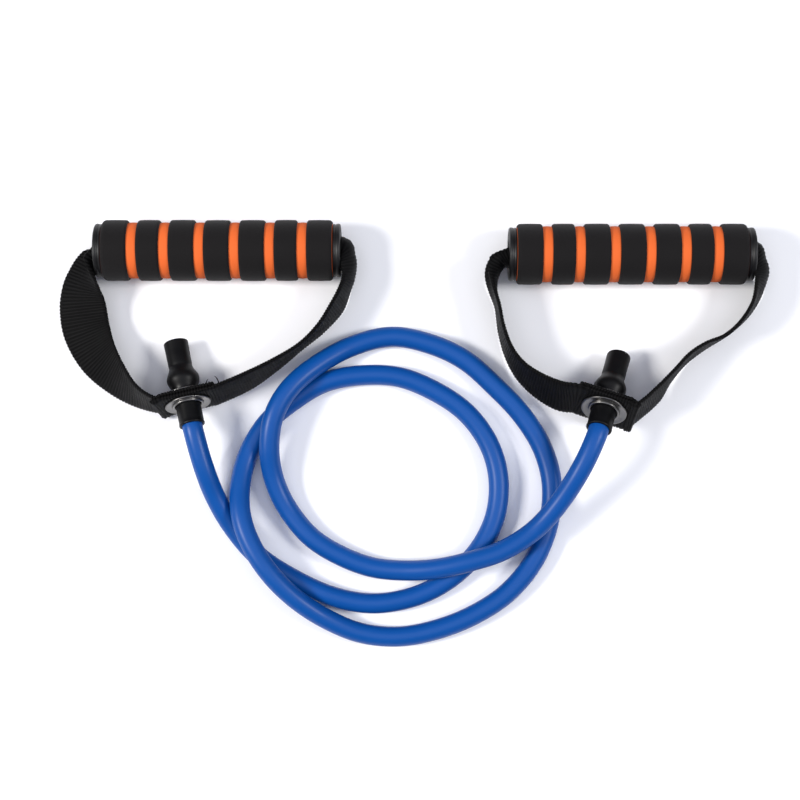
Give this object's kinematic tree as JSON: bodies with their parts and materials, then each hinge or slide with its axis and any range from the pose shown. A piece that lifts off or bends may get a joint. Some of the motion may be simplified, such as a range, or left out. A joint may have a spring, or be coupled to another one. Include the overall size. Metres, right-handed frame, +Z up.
{
  "type": "resistance band",
  "caption": "Tube resistance band: a loosely looped latex tube with a swivelling foam grip handle on a webbing strap at each end.",
  "frame": {"origin": "bottom centre of the box round the two handles, straps and tube ends, without the free tube, on the surface the band lies on", "axes": "+X along the grips towards the right handle, +Y from the loops of tube towards the grips, +Z up"},
  "size_m": [0.384, 0.23, 0.0369],
  "materials": {
    "latex_blue": "smooth satin latex",
    "foam_black": "matte closed-cell foam",
    "foam_orange": "matte closed-cell foam",
    "pipe_plastic": "moulded",
    "cap_plastic": "moulded, slightly shiny on its rim",
    "webbing_black": "ribbed woven webbing",
    "grommet_steel": "nickel-plated steel, polished rim",
    "sleeve_rubber": "smooth satin rubber",
    "plug_plastic": "moulded"
  },
  "bodies": {
    "band": {"latex_tube": "latex_blue", "left_ball_plug": "plug_plastic", "left_tube_sleeve": "sleeve_rubber", "right_ball_plug": "plug_plastic", "right_tube_sleeve": "sleeve_rubber"},
    "left_strap_loop": {"left_strap": "webbing_black", "left_eyelet": "grommet_steel", "left_washer": "grommet_steel"},
    "left_grip": {"left_core": "pipe_plastic", "left_foam_sleeve": "foam_orange", "left_foam_ring_1": "foam_black", "left_foam_ring_2": "foam_black", "left_foam_ring_3": "foam_black", "left_foam_ring_4": "foam_black", "left_foam_ring_5": "foam_black", "left_foam_ring_6": "foam_black", "left_foam_ring_7": "foam_black", "left_outer_cap": "cap_plastic", "left_inner_cap": "cap_plastic"},
    "right_strap_loop": {"right_strap": "webbing_black", "right_eyelet": "grommet_steel", "right_washer": "grommet_steel"},
    "right_grip": {"right_core": "pipe_plastic", "right_foam_sleeve": "foam_orange", "right_foam_ring_1": "foam_black", "right_foam_ring_2": "foam_black", "right_foam_ring_3": "foam_black", "right_foam_ring_4": "foam_black", "right_foam_ring_5": "foam_black", "right_foam_ring_6": "foam_black", "right_foam_ring_7": "foam_black", "right_outer_cap": "cap_plastic", "right_inner_cap": "cap_plastic"}
  },
  "joints": [
    {"name": "left_swivel", "type": "hinge", "parent": "band", "child": "left_strap_loop", "pos_m": [-0.122, -0.038, 0.0165], "axis": [-0.2173, 0.9412, -0.2588], "continuous": true},
    {"name": "left_grip_spin", "type": "hinge", "parent": "left_strap_loop", "child": "left_grip", "pos_m": [-0.1051, 0.0422, 0.0163], "axis": [1, 0, 0], "continuous": true},
    {"name": "right_swivel", "type": "hinge", "parent": "band", "child": "right_strap_loop", "pos_m": [0.102, -0.042, 0.0233], "axis": [0.2728, 0.8397, -0.4695], "continuous": true},
    {"name": "right_grip_spin", "type": "hinge", "parent": "right_strap_loop", "child": "right_grip", "pos_m": [0.1166, 0.0402, 0.0163], "axis": [1, 0, 0], "continuous": true}
  ]
}
